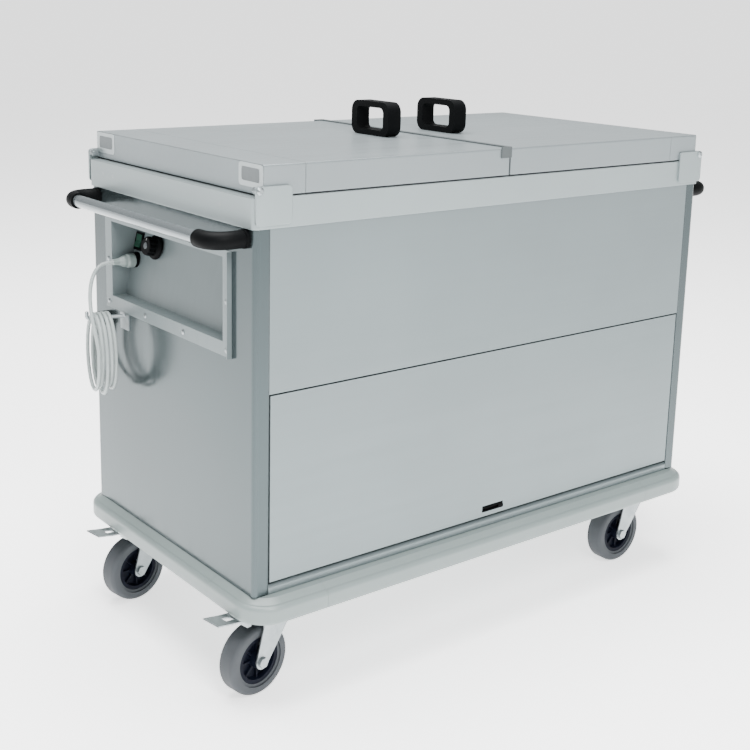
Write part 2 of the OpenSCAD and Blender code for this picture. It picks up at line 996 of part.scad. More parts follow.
// Parking socket for the plug, and the plug in it; both lie along X
socket_x = recess_depth(plug_z) - body_x - 6;
plug_pin_d = 4.8;
plug_pin_y = 7;
plug_pin_l = 17;
module parking_socket() {
    color(black)
        difference() {
            union() {
                rod_x(plug_y, plug_z, socket_d, socket_x, socket_x + 28);
                rod_x(plug_y, plug_z, socket_d + 8, socket_x + 6 + lining + 5, socket_x + 6 + lining + 8);
            }
            for (y = [-1, 1])
                rod_x(plug_y + y * plug_pin_y, plug_z, plug_pin_d + 2 * cut_gap, socket_x - 1,
                    socket_x + plug_pin_l + 2);
        }
}

plug_d = 26;
plug_l = 42;
module mains_plug() {
    r = plug_d / 2;
    color(cord_white) {
        translate([socket_x, plug_y, plug_z])
            rotate([0, -90, 0])
                rotate_extrude()
                    polygon([[0, 0], [r - 1, 0], [r, 1], [r, 13], [r - 2, 16], [r - 3, 22], [r - 5.5, 28],
                        [6.5, 31], [5.5, plug_l], [0, plug_l]]);
        for (y = [-1, 1])
            rod_x(plug_y + y * plug_pin_y, plug_z, plug_pin_d, socket_x - 0.1, socket_x + plug_pin_l);
    }
}

// ---- Mains lead ----

// Shell gland on the wall, its mouth pointing down
gland_y = 232;
gland_x = -body_x - 12;
gland_z = recess_z0 - 80;
module cable_gland() {
    color(black) {
        block([gland_x, gland_y - 11, gland_z + 20], [-body_x, gland_y + 11, gland_z + 42]);
        translate([gland_x, gland_y, gland_z + 20])
            cylinder(r = 11, h = 22);
        translate([gland_x, gland_y, gland_z])
            cylinder(r1 = 5, r2 = 8, h = 20);
    }
}

// The hank hangs on a rod hook that runs out from the wall under the recess
hook_d = 7;
hook_top = recess_z0 - bezel_drop - 1.5;
hook_bend = 5;
hook_up = 12;
hank_x = -body_x - 45;
hank_y = 165;
hank_turn = 12;
hank_axis = [-cos(hank_turn), sin(hank_turn), 0];
hank_along = [sin(hank_turn), cos(hank_turn), 0];
hank_c = [hank_x, hank_y, 0];
hank_top = hook_top + rest_gap + cord_d / 2;
hank_loops = 4.25;
hank_pitch = 8;
hank_w = hank_loops * hank_pitch;

module cable_hook() {
    wall_s = (body_x + hank_x + 1) / cos(hank_turn);
    tip_s = hank_w / 2 + cord_d / 2 + 1 + hook_d / 2;
    rod_z = hook_top - hook_d / 2;
    root = hank_c + hank_axis * wall_s;
    color(zinc) {
        translate([hank_x, hank_y, rod_z])
            rotate([0, 0, -hank_turn]) {
                rod_x(0, 0, hook_d, hook_bend - tip_s, -wall_s);
                translate([hook_bend - tip_s, 0, hook_bend])
                    rotate([90, 0, 0])
                        rotate([0, 0, 180])
                            rotate_extrude(angle = 90)
                                translate([hook_bend, 0])
                                    circle(d = hook_d);
                translate([-tip_s, 0, hook_bend])
                    cylinder(d = hook_d, h = hook_up - hook_bend);
                translate([-tip_s, 0, hook_up])
                    cylinder(d1 = hook_d, d2 = hook_d - 3, h = 1.5);
            }
        block([-body_x - 2, root[1] - 16, rod_z - 26], [-body_x, root[1] + 16, hook_top + 1]);
    }
}

// Points of the hank: from the front side, down and round, wound towards the wall
hank_steps = 24;
function hank_at(s) = let (th = 180 + 360 * s / hank_steps, a = 49 + 3 * sin(0.41 * th),
    b = 71 + 4 * cos(0.37 * th))
    hank_c + hank_along * (a * cos(th)) + [0, 0, hank_top - b + b * sin(th)]
    + hank_axis * (hank_w / 2 - hank_pitch * s / hank_steps);

hank_end = hank_loops * hank_steps;
hank_run = [for (s = [0:hank_end]) hank_at(s)];
hank_points = concat([hank_run[0] + [0, 0, cord_d]], hank_run, [hank_run[hank_end] + hank_along * cord_d]);

hank_gap = min([for (i = [0:hank_end], j = [0:hank_end]) if (j - i > hank_steps / 2)
    norm(hank_run[i] - hank_run[j])]) - cord_d;
echo(least_gap_between_loops = hank_gap);

// Smooth run through hand-placed points, each span cut into equal steps
function spline(p, i, t) =
    let (n = len(p) - 1, a = p[max(i - 1, 0)], b = p[i], c = p[i + 1], d = p[min(i + 2, n)])
    0.5 * (2 * b + (c - a) * t + (2 * a - 5 * b + 4 * c - d) * t * t + (3 * b - 3 * c + d - a) * t * t * t);
function smooth(p, k) =
    concat([for (i = [0:len(p) - 2], j = [0:k - 1]) spline(p, i, j / k)], [p[len(p) - 1]]);
function run_length(p) = len(p) < 2 ? 0 : sum_to(p, len(p) - 1);
function sum_to(p, i) = i == 0 ? 0 : norm(p[i] - p[i - 1]) + sum_to(p, i - 1);

// Tube swept along points; side is a direction that the run never takes
module swept(points, d, sides, side) {
    n = len(points);
    rings = [for (i = [0:n - 1])
        let (run = points[min(i + 1, n - 1)] - points[max(i - 1, 0)],
            t = run / norm(run), u0 = cross(t, side), u = u0 / norm(u0), v = cross(t, u))
        [for (k = [0:sides - 1]) points[i] + d / 2 * (u * cos(360 * k / sides) + v * sin(360 * k / sides))]];
    faces = concat(
        [for (i = [0:n - 2], k = [0:sides - 1]) let (m = (k + 1) % sides)
            [i * sides + k, i * sides + m, (i + 1) * sides + m]],
        [for (i = [0:n - 2], k = [0:sides - 1]) let (m = (k + 1) % sides)
            [i * sides + k, (i + 1) * sides + m, (i + 1) * sides + k]],
        [[for (k = [sides - 1:-1:0]) k]],
        [[for (k = [0:sides - 1]) (n - 1) * sides + k]]);
    polyhedron(points = [for (r = rings) for (p = r) p], faces = faces);
}

module cord_hank() {
    color(cord_white)
        swept(hank_points, cord_d, 6, hank_axis);
}

// From the plug down to the front of the hank
plug_end = [socket_x - plug_l, plug_y, plug_z];
hank_in = hank_points[0];
drop_route = concat([plug_end, plug_end - [cord_d, 0, 0]],
    [[-562, 187, 684], [-576, 184, 676], [-588, 178, 660], [-597, 168, 638], [-603, 154, 612],
    [-606, 138, 585], [-606, 127, 563]],
    [hank_in + [0, 0, cord_d], hank_in]);

module cord_drop() {
    color(cord_white)
        swept(smooth(drop_route, 3), cord_d, 8, [0, 1, 0]);
}

// From the far end of the hank up into the gland
hank_out = hank_points[len(hank_points) - 1];
gland_end = [gland_x, gland_y, gland_z];
lead_route = concat([hank_out, hank_out + hank_along * cord_d],
    [[-560, 187, 460], [-557, 201, 466], [-553, 213, 478], [-550, 222, 492], [-547, 229, 510]],
    [gland_end - [0, 0, cord_d], gland_end]);

module cord_lead() {
    color(cord_white)
        swept(smooth(lead_route, 3), cord_d, 8, [1, 0, 0]);
}

echo(cord_length = run_length(smooth(drop_route, 3)) + run_length(hank_points)
    + run_length(smooth(lead_route, 3)));

// ---- Push bars ----

arm_y = body_y - corner_r - 17;
arm_d = 29;
bend_r = 32;
sleeve_l = 11;
arm_z = rim_z - bar_drop;
arm_foot_h = 30;

module push_bar_right() {
    y = arm_y - bend_r;
    color(bright)
        rod_y(body_x + bar_out, arm_z, bar_d, -y, y);
}

module push_bar_left() {
    mirror([1, 0, 0])
        push_bar_right();
}

module bar_end() {
    difference() {
        union() {
            // foot on the wall, arm, bend and the sleeve that holds the bar
            translate([body_x, -arm_y, arm_z])
                rotate([0, 90, 0])
                    linear_extrude(7)
                        rounded(arm_foot_h, 30, 12);
            rod_x(-arm_y, arm_z, arm_d, body_x, body_x + bar_out - bend_r);
            translate([body_x + bar_out - bend_r, bend_r - arm_y, arm_z])
                rotate([0, 0, -90])
                    rotate_extrude(angle = 90)
                        translate([bend_r, 0])
                            circle(d = arm_d);
            rod_y(body_x + bar_out, arm_z, arm_d, bend_r - arm_y, bend_r + sleeve_l - arm_y);
        }
        rod_y(body_x + bar_out, arm_z, bar_d + 2 * run_gap, bend_r - arm_y, bend_r + sleeve_l + 1 - arm_y);
    }
}

module bar_ends() {
    color(black)
        for (x = [0, 1], y = [0, 1])
            mirror([x, 0, 0])
                mirror([0, y, 0])
                    bar_end();
}

// ---- Castors ----

left_turn = 8;
plate_t = 4;
head_h = 9;
crown_t = 4;
crown_h = 8;
king_d = 12;
leg_t = 3;
leg_y = tyre_w / 2 + 3;
wheel_r = wheel_d / 2;
plate_z = castor_h - plate_t;
race_z = plate_z - head_h;
crown_z = race_z - fork_clear - crown_h - crown_t;

// x and y say which corner; the left castors have swivelled a little
module at_castor(x, y) {
    translate([x * castor_x, y * castor_y, 0])
        rotate([0, 0, x < 0 ? left_turn : 0])
            children();
}

module castor_plates() {
    color(zinc)
        for (x = [-1, 1], y = [-1, 1]) {
            translate([x * castor_x, y * castor_y, plate_z])
                linear_extrude(plate_t)
                    rounded(plate_l, plate_w, 10);
            translate([x * castor_x, y * castor_y, 0]) {
                rotate_extrude()
                    polygon([[0, race_z], [29, race_z], [33, race_z + 4], [33, plate_z], [0, plate_z]]);
                translate([0, 0, crown_z - 6])
                    cylinder(d = king_d, h = race_z - crown_z + 7);
                translate([0, 0, crown_z - 6])
                    cylinder(d = 22, h = 6 - fork_clear, $fn = 6);
            }
        }
}

// Point where the line from p touches the circle round c, on the given side
function touch(p, c, r, side) = let (v = p - c, a = atan2(v[1], v[0]) + side * acos(r / norm(v)))
    c + r * [cos(a), sin(a)];

leg_end = 13;
lug_x = -30;
pedal_x = -46;
pedal_z = crown_z + 6;
pedal_pin = 5;
pedal_rise = 12;
tread_l = 24;
tread_w = 40;
lip_l = 34;
lip_top = base_z - 1.3;

module fork(braked) {
    axle = [-trail, wheel_r];
    top_a = [-30, crown_z + crown_t];
    top_b = [34, crown_z + crown_t];
    color(zinc)
        difference() {
            union() {
                for (y = [0, 1])
                    mirror([0, y, 0])
                        along_y(leg_y, leg_y + leg_t) {
                            polygon([top_a, touch(top_a, axle, leg_end, 1), axle,
                                touch(top_b, axle, leg_end, -1), top_b]);
                            translate(axle)
                                circle(leg_end);
                        }
                block([top_a[0], -leg_y - leg_t, crown_z], [top_b[0], leg_y + leg_t, crown_z + crown_t]);
                translate([0, 0, crown_z + crown_t - 0.1])
                    rotate_extrude()
                        polygon([[0, 0], [30, 0], [34, 3], [34, crown_h + 0.1], [0, crown_h + 0.1]]);
                rod_y(-trail, wheel_r, axle_d, -leg_y - leg_t - 3, leg_y + leg_t + 3);
                for (y = [0, 1])
                    mirror([0, y, 0])
                        translate([-trail, leg_y + leg_t, wheel_r])
                            rotate([-90, 0, 0])
                                cylinder(d = axle_d + 9, h = 5, $fn = 6);
                if (braked)
                    for (y = [0, 1])
                        mirror([0, y, 0]) {
                            block([pedal_x - 6, 12, crown_z - 1], [lug_x + 1, 15, crown_z + crown_t + 8]);
                            rod_y(pedal_x, pedal_z, pedal_pin, 0, 17);
                        }
            }
            translate([0, 0, crown_z - 1])
                cylinder(d = king_d + 2 * run_gap, h = crown_t + crown_h + 3);
        }
}

module wheel_hub() {
    r = hub_d / 2;
    color(black)
        translate([-trail, 0, wheel_r])
            rotate([90, 0, 0])
                difference() {
                    union() {
                        rotate_extrude()
                            polygon([[axle_d / 2 + run_gap, 0.6 - leg_y], [13, 0.6 - leg_y], [14, 8 - leg_y],
                                [15, -5], [r - 9, -5], [r - 7, 4 - tyre_w / 2], [r, 4 - tyre_w / 2],
                                [r, tyre_w / 2 - 4], [r - 7, tyre_w / 2 - 4], [r - 9, 5], [15, 5],
                                [14, leg_y - 8], [13, leg_y - 0.6], [axle_d / 2 + run_gap, leg_y - 0.6]]);
                        for (a = [0:45:359])
                            rotate([0, 0, a])
                                translate([12, -1.5, -10])
                                    cube([r - 19, 3, 20]);
                    }
                    translate([0, 0, -30])
                        cylinder(d = axle_d + 2 * run_gap, h = 60);
                }
}

tread_r = 8;
module tyre() {
    r0 = hub_d / 2 + 0.1;
    color(tyre_grey)
        translate([-trail, 0, wheel_r])
            rotate([90, 0, 0])
                rotate_extrude() {
                    translate([r0, 3 - tyre_w / 2])
                        square([wheel_r - tread_r - r0, tyre_w - 6]);
                    translate([r0 + 5, -tyre_w / 2])
                        square([wheel_r - tread_r - r0 - 5, tyre_w]);
                    translate([wheel_r - tread_r - 0.1, tread_r - tyre_w / 2])
                        square([tread_r + 0.1, tyre_w - 2 * tread_r]);
                    for (s = [-1, 1])
                        translate([wheel_r - tread_r, s * (tyre_w / 2 - tread_r)])
                            circle(tread_r);
                }
}

// Foot pedal of the brake: barrel on its pin, shoe over the tyre, tread plate
module brake_pedal() {
    t = 2.5;
    half = 11;
    slot_w = 13;
    tip_x = -base_x - bumper_out + castor_x - 2;
    tread_z = pedal_z + pedal_rise;
    color(zinc)
        difference() {
            union() {
                rod_y(pedal_x, pedal_z, 11, -half, half);
                block([pedal_x - 14, -half, pedal_z - 13], [pedal_x - 5, half, pedal_z]);
                along_y(-half, half)
                    polygon([[pedal_x, pedal_z - 2], [pedal_x, pedal_z + t],
                        [tip_x, tread_z], [tip_x, tread_z - t]]);
                along_y(-tread_w / 2, tread_w / 2)
                    polygon([[tip_x + tread_l, tread_z - tread_l / 5 - t / 2],
                        [tip_x + tread_l, tread_z - tread_l / 5 + t / 2], [tip_x - 4, tread_z + 0.4],
                        [tip_x - lip_l + 1, lip_top], [tip_x - lip_l, lip_top - 2],
                        [tip_x - 4, tread_z + 0.4 - t]]);
            }
            rod_y(pedal_x, pedal_z, pedal_pin + 2 * run_gap, -half - 1, half + 1);
            block([tip_x - 6, -slot_w / 2, pedal_z], [tip_x + 10, slot_w / 2, tread_z + tread_l]);
        }
}

module castor_fork_fl() {
    at_castor(-1, -1)
        fork(true);
}

module castor_fork_fr() {
    at_castor(1, -1)
        fork(false);
}

module castor_fork_bl() {
    at_castor(-1, 1)
        fork(true);
}

module castor_fork_br() {
    at_castor(1, 1)
        fork(false);
}

module wheel_fl() {
    at_castor(-1, -1)
        wheel_hub();
}

module wheel_fr() {
    at_castor(1, -1)
        wheel_hub();
}

module wheel_bl() {
    at_castor(-1, 1)
        wheel_hub();
}

module wheel_br() {
    at_castor(1, 1)
        wheel_hub();
}

module tyre_fl() {
    at_castor(-1, -1)
        tyre();
}

module tyre_fr() {
    at_castor(1, -1)
        tyre();
}

module tyre_bl() {
    at_castor(-1, 1)
        tyre();
}

module tyre_br() {
    at_castor(1, 1)
        tyre();
}

module brake_pedal_fl() {
    at_castor(-1, -1)
        brake_pedal();
}

module brake_pedal_bl() {
    at_castor(-1, 1)
        brake_pedal();
}

chassis();
bumper_corners();
bumper_rails();
end_wall_left();
end_wall_right();
back_panel();
front_panel();
front_sill();
compartment_lining();
top_rim();
rim_gasket();
well_left();
well_right();
heating_elements();
hinge_cheeks();
hinge_pins();
casing_screws();
control_recess();
thermostat();
switch_housing();
parking_socket();
cable_hook();
cable_gland();
cord_lead();
cord_hank();
cord_drop();
mains_plug();
push_bar_left();
push_bar_right();
bar_ends();
flap_pivots();
castor_plates();
flap_shell();
flap_lining();
flap_latch();
thermostat_knob();
switch_rocker();
lid_shell_left();
lid_lining_left();
lid_channel_left();
lid_grip_left();
lid_strip();
lid_shell_right();
lid_lining_right();
lid_channel_right();
lid_grip_right();
castor_fork_fl();
castor_fork_fr();
castor_fork_bl();
castor_fork_br();
wheel_fl();
wheel_fr();
wheel_bl();
wheel_br();
tyre_fl();
tyre_fr();
tyre_bl();
tyre_br();
brake_pedal_fl();
brake_pedal_bl();
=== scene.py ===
import math

import bmesh
import bpy
from mathutils import Matrix, Vector


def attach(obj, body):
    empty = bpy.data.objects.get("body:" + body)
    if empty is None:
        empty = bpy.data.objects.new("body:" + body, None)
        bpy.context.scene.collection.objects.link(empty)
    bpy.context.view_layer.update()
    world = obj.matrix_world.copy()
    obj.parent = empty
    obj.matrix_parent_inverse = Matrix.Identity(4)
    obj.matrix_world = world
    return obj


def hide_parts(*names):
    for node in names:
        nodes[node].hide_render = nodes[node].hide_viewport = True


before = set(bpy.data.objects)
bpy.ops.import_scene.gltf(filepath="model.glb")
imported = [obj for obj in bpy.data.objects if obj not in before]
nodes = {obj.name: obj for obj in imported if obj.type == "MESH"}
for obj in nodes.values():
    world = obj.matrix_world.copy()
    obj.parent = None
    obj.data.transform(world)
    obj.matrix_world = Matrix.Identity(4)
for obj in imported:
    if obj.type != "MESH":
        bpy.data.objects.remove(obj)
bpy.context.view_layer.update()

# Camera
# The picture is taken from the front left corner, a little above the lids. The
# camera looks down at the trolley and its frame is shifted a little.
eye = Vector((-1.5701, -1.8886, 1.1608))
heading = math.radians(38.378)
looking_down = math.radians(12.583)
tilt_of_horizon = math.radians(1.383)
camera_data = bpy.data.cameras.new("camera")
camera_data.lens = 60.53
camera_data.sensor_width = 36
camera_data.shift_y = -0.12
camera_data.clip_end = 120
camera = bpy.data.objects.new("camera", camera_data)
camera.matrix_world = (Matrix.Translation(eye) @ Matrix.Rotation(-heading, 4, "Z")
                       @ Matrix.Rotation(math.radians(90) - looking_down, 4, "X")
                       @ Matrix.Rotation(tilt_of_horizon, 4, "Z"))
bpy.context.scene.collection.objects.link(camera)
bpy.context.scene.camera = camera

# Mains lead
# A round flexible lead with a pale sheath. It leaves the gland, is wound into a
# hank of loose loops on the hook, and runs up from there to its parked plug.
lead_d = 0.007
gland_mouth = Vector((-0.546, 0.232, 0.540))
plug_tail = Vector((-0.541386, 0.186, 0.686))
hank_centre = Vector((-0.579, 0.165, 0.0))
hank_yaw = math.radians(12)
out_of_wall = Vector((-math.cos(hank_yaw), math.sin(hank_yaw), 0))
along_wall = Vector((math.sin(hank_yaw), math.cos(hank_yaw), 0))
hank_top = 0.5984
hank_turns = 4.25
hank_pitch = 0.008


def hank_point(turn):
    angle = math.pi + 2 * math.pi * turn
    wide = 0.049 + 0.003 * math.sin(0.41 * angle)
    tall = 0.071 + 0.004 * math.cos(0.37 * angle)
    return (hank_centre + along_wall * wide * math.cos(angle)
            + Vector((0, 0, hank_top - tall + tall * math.sin(angle)))
            + out_of_wall * hank_pitch * (hank_turns / 2 - turn))


def eased(points, cuts):
    run = []
    last = len(points) - 1
    for i in range(last):
        a, b = points[max(i - 1, 0)], points[i]
        c, d = points[i + 1], points[min(i + 2, last)]
        for k in range(cuts):
            t = k / cuts
            run.append(0.5 * (2 * b + (c - a) * t + (2 * a - 5 * b + 4 * c - d) * t * t
                              + (3 * b - 3 * c + d - a) * t ** 3))
    return run + [points[last]]


steps = 24
wound = [hank_point(s / steps) for s in range(int(hank_turns * steps) + 1)]
hank_in = wound[0] + Vector((0, 0, lead_d))
hank_out = wound[-1] + along_wall * lead_d
drop = [plug_tail, plug_tail - Vector((lead_d, 0, 0))]
drop += [Vector(p) for p in ((-0.562, 0.187, 0.684), (-0.576, 0.184, 0.676), (-0.588, 0.178, 0.660),
                             (-0.597, 0.168, 0.638), (-0.603, 0.154, 0.612), (-0.606, 0.138, 0.585),
                             (-0.606, 0.127, 0.563))]
drop += [hank_in + Vector((0, 0, lead_d)), hank_in]
rise = [hank_out, hank_out + along_wall * lead_d]
rise += [Vector(p) for p in ((-0.560, 0.187, 0.460), (-0.557, 0.201, 0.466), (-0.553, 0.213, 0.478),
                             (-0.550, 0.222, 0.492), (-0.547, 0.229, 0.510))]
rise += [gland_mouth - Vector((0, 0, lead_d)), gland_mouth]
lead_route = (eased(drop, 3)[:-1] + [hank_in] + wound + eased(rise, 3))[::-1]
lead_curve = bpy.data.curves.new("mains_lead", "CURVE")
lead_curve.dimensions = "3D"
lead_curve.bevel_depth = lead_d / 2
lead_curve.bevel_resolution = 4
lead_curve.use_fill_caps = True
lead_line = lead_curve.splines.new("POLY")
lead_line.points.add(len(lead_route) - 1)
for dot, place in zip(lead_line.points, lead_route):
    dot.co = (*place, 1)
lead_line.use_smooth = True
mains_lead = bpy.data.objects.new("mains_lead", lead_curve)
bpy.context.scene.collection.objects.link(mains_lead)


def finish_of(name, colour, metallic, roughness):
    made = bpy.data.materials.new(name)
    made.use_nodes = True
    shader = made.node_tree.nodes["Principled BSDF"]
    shader.inputs["Base Color"].default_value = (*colour, 1)
    shader.inputs["Metallic"].default_value = metallic
    shader.inputs["Roughness"].default_value = roughness
    return made, made.node_tree, shader


def noise_on(tree, scale, stretch=(1, 1, 1), detail=3):
    place = tree.nodes.new("ShaderNodeTexCoord")
    turn = tree.nodes.new("ShaderNodeMapping")
    turn.inputs["Scale"].default_value = stretch
    grain = tree.nodes.new("ShaderNodeTexNoise")
    grain.inputs["Scale"].default_value = scale
    grain.inputs["Detail"].default_value = detail
    tree.links.new(place.outputs["Object"], turn.inputs["Vector"])
    tree.links.new(turn.outputs["Vector"], grain.inputs["Vector"])
    return grain.outputs["Fac"]


def spread(tree, source, low, high):
    band = tree.nodes.new("ShaderNodeMapRange")
    band.inputs["From Min"].default_value = 0.3
    band.inputs["From Max"].default_value = 0.7
    band.inputs["To Min"].default_value = low
    band.inputs["To Max"].default_value = high
    tree.links.new(source, band.inputs["Value"])
    return band.outputs["Result"]


def mottle(tree, shader, source, dark, light):
    mix = tree.nodes.new("ShaderNodeMix")
    mix.data_type = "RGBA"
    mix.inputs["A"].default_value = (*dark, 1)
    mix.inputs["B"].default_value = (*light, 1)
    tree.links.new(source, mix.inputs["Factor"])
    tree.links.new(mix.outputs["Result"], shader.inputs["Base Color"])


def raise_by(tree, shader, source, distance, strength=0.5, edge=0.0):
    bump = tree.nodes.new("ShaderNodeBump")
    if edge:
        rounded = tree.nodes.new("ShaderNodeBevel")
        rounded.samples = 4
        rounded.inputs["Radius"].default_value = edge
        tree.links.new(rounded.outputs["Normal"], bump.inputs["Normal"])
    bump.inputs["Distance"].default_value = distance
    bump.inputs["Strength"].default_value = strength
    tree.links.new(source, bump.inputs["Height"])
    tree.links.new(bump.outputs["Normal"], shader.inputs["Normal"])


def dress(material, *names):
    for name in names:
        piece = nodes[name]
        if not piece.data.materials:
            piece.data.materials.append(material)
        for i in range(len(piece.material_slots)):
            piece.material_slots[i].material = material


sheath, tree, shader = finish_of("lead_sheath", (0.33, 0.37, 0.365), 0, 0.45)
scuffs = noise_on(tree, 60)
mottle(tree, shader, scuffs, (0.29, 0.33, 0.325), (0.37, 0.41, 0.405))
raise_by(tree, shader, noise_on(tree, 900), 0.0001, 0.3)
lead_curve.materials.append(sheath)
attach(mains_lead, "cabinet")
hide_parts("cord_lead", "cord_hank", "cord_drop")

# Plug
# A round plug moulded on the end of the lead in a like pale plastic. It is parked
# in a dummy socket inside the control recess.
moulded, tree, shader = finish_of("plug_moulding", (0.19, 0.23, 0.222), 0, 0.32)
mottle(tree, shader, noise_on(tree, 45), (0.175, 0.213, 0.205), (0.21, 0.252, 0.243))
raise_by(tree, shader, noise_on(tree, 1400), 0.00008, 0.3)
dress(moulded, "mains_plug")

# Casing, rim and lids
# Stainless sheet with a fine satin grain, folded at its edges. The grain runs
# along each sheet and shows as soft streaks in the light. The end walls carry a
# far darker copy of the same steel, which is painted shade.
def satin_sheet(name, tone, along, roughness=0.36, metallic=0.55, edge=0.0012):
    dark = [0.94 * c for c in tone]
    light = [1.05 * c for c in tone]
    made, tree, shader = finish_of(name, tone, metallic, roughness)
    grain = noise_on(tree, 90, along, 3)
    mottle(tree, shader, spread(tree, noise_on(tree, 2.6), 0, 1), dark, light)
    tree.links.new(spread(tree, grain, roughness - 0.04, roughness + 0.05), shader.inputs["Roughness"])
    raise_by(tree, shader, grain, 0.00001, 0.1, edge)
    return made


along_front = (0.02, 1, 1)
round_sides = (0.03, 0.03, 1)
front_satin = satin_sheet("satin_front", (0.175, 0.21, 0.217), along_front, edge=0)
# End walls: the casing steel at a far darker tone, painted shade for the side that gets less light.
shaded_end_satin = satin_sheet("satin_end_shaded", (0.064, 0.083, 0.087), (1, 1, 0.02), 0.18, 0.7, 0.004)
recess_satin = satin_sheet("satin_recess", (0.155, 0.187, 0.192), (1, 1, 0.02), 0.38, 0.25, 0)
rim_satin = satin_sheet("satin_rim", (0.29, 0.335, 0.34), round_sides, 0.34, 0.6, 0.002)
lid_satin = satin_sheet("satin_lid", (0.24, 0.272, 0.282), along_front, 0.34, 0.55, 0.003)
dress(front_satin, "front_panel", "back_panel", "front_sill", "flap_shell")
dress(shaded_end_satin, "end_wall_left", "end_wall_right")
dress(recess_satin, "control_recess")
dress(rim_satin, "top_rim", "hinge_cheeks")
dress(lid_satin, "lid_shell_left", "lid_shell_right", "lid_channel_left", "lid_channel_right")

# Linings, wells and push bars
# The linings and the pressed wells are brighter stainless than the casing. The
# push bars are drawn stainless tube, held at each end by a black moulding.
bright_satin = satin_sheet("bright_lining", (0.42, 0.46, 0.465), round_sides, 0.34, 0.8, 0)
dress(bright_satin, "compartment_lining", "well_left", "well_right", "flap_lining", "lid_lining_left",
      "lid_lining_right")
tube_satin = satin_sheet("drawn_tube", (0.24, 0.27, 0.283), (1, 0.05, 1), 0.20, 0.8, 0)
dress(tube_satin, "push_bar_left", "push_bar_right")

# Lid end caps and pads
# A bright pressed cap with rounded corners covers each outer corner of a lid,
# and a very thin dark grey patch is laid on each cap.
def keep_mesh(shape, name, material):
    bmesh.ops.remove_doubles(shape, verts=shape.verts, dist=1e-6)
    bmesh.ops.recalc_face_normals(shape, faces=shape.faces)
    mesh = bpy.data.meshes.new(name)
    shape.to_mesh(mesh)
    shape.free()
    mesh.materials.append(material)
    piece = bpy.data.objects.new(name, mesh)
    bpy.context.scene.collection.objects.link(piece)
    return piece


def round_off(shape, edges, radius, cuts):
    bmesh.ops.bevel(shape, geom=edges, offset=radius, segments=cuts, profile=0.5,
                    affect="EDGES", material=-1)


def rounded_plate(thin, long, high, corner, place):
    plate = bmesh.new()
    bmesh.ops.create_cube(plate, size=1)
    bmesh.ops.scale(plate, vec=(thin, long, high), verts=plate.verts)
    across = [e for e in plate.edges if abs(e.verts[0].co.x - e.verts[1].co.x) > thin / 2]
    round_off(plate, across, corner, 6)
    bmesh.ops.translate(plate, verts=plate.verts, vec=place)
    return plate


cap_long, cap_high, cap_thin, cap_corner = 0.070, 0.037, 0.0007, 0.007
pad_long, pad_high, pad_thin, pad_corner = 0.051, 0.022, 0.00006, 0.006
lid_end, pad_face, lid_half, lid_top = 0.520, 0.5208, 0.2835, 0.917
boss_long, boss_high, boss_in, boss_down = 0.050, 0.021, 0.012, 0.008
cap_inset = 0.001
cap_mid_y = lid_half - cap_inset - cap_long / 2
cap_mid_z = lid_top - cap_inset - cap_high / 2
pad_mid_y = lid_half - boss_in - boss_long / 2
pad_mid_z = lid_top - boss_down - boss_high / 2
cap_steel, tree, shader = finish_of("cap_steel", (0.42, 0.46, 0.465), 0.75, 0.3)
mottle(tree, shader, noise_on(tree, 60), (0.39, 0.43, 0.435), (0.45, 0.49, 0.495))
# Very thin dark grey patch on each cap; only its tone is given.
pad_dark_grey, tree, shader = finish_of("pad_dark_grey", (0.13, 0.145, 0.15), 0, 0.6)
mottle(tree, shader, noise_on(tree, 150), (0.12, 0.135, 0.14), (0.15, 0.165, 0.17))
raise_by(tree, shader, noise_on(tree, 1200), 0.00006, 0.4)
for side, hand in ((-1, "left"), (1, "right")):
    for depth, place in ((-1, "front"), (1, "back")):
        cap = rounded_plate(cap_thin, cap_long, cap_high, cap_corner,
                            (side * (lid_end + cap_thin / 2), depth * cap_mid_y, cap_mid_z))
        lid_cap = keep_mesh(cap, "lid_cap_" + hand + "_" + place, cap_steel)
        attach(lid_cap, "lid_" + hand)
        pad = rounded_plate(pad_thin, pad_long, pad_high, pad_corner,
                            (side * (pad_face + pad_thin / 2), depth * pad_mid_y, pad_mid_z))
        lid_pad = keep_mesh(pad, "lid_pad_" + hand + "_" + place, pad_dark_grey)
        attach(lid_pad, "lid_" + hand)

# Chassis
# A tray of folded steel sheet under a thin grey primer. The cabinet stands on it
# and the castors are fixed under its corners.
primer, tree, shader = finish_of("chassis_primer", (0.34, 0.37, 0.37), 0.2, 0.5)
mottle(tree, shader, noise_on(tree, 14), (0.31, 0.34, 0.34), (0.38, 0.41, 0.41))
raise_by(tree, shader, noise_on(tree, 500), 0.0001, 0.3)
dress(primer, "chassis")

# Bumper
# Four moulded corners and the straight lengths between them, in a grey-green
# plastic with a fine grain and a soft shine.
bumper, tree, shader = finish_of("bumper_plastic", (0.185, 0.225, 0.22), 0, 0.36)
mottle(tree, shader, noise_on(tree, 8), (0.175, 0.214, 0.209), (0.2, 0.24, 0.235))
raise_by(tree, shader, noise_on(tree, 700), 0.00012, 0.4)
dress(bumper, "bumper_corners", "bumper_rails")

# Black mouldings
# Injection mouldings with a fine matt grain: grips, bar ends, latch, controls and
# gland. The wheel hubs are moulded in a blue-black.
black, tree, shader = finish_of("black_moulding", (0.0022, 0.0025, 0.0028), 0, 0.5)
shader.inputs["Specular IOR Level"].default_value = 0.045
mottle(tree, shader, noise_on(tree, 30), (0.0018, 0.002, 0.0023), (0.003, 0.0034, 0.0037))
raise_by(tree, shader, noise_on(tree, 900), 0.00012, 0.4)
dress(black, "bar_ends", "cable_gland", "thermostat", "switch_housing", "parking_socket", "flap_latch",
      "thermostat_knob", "lid_grip_left", "lid_grip_right")
hub, tree, shader = finish_of("hub_moulding", (0.003, 0.004, 0.009), 0, 0.5)
shader.inputs["Specular IOR Level"].default_value = 0.08
mottle(tree, shader, noise_on(tree, 40), (0.0025, 0.0035, 0.008), (0.004, 0.0055, 0.012))
dress(hub, "wheel_fl", "wheel_fr", "wheel_bl", "wheel_br")

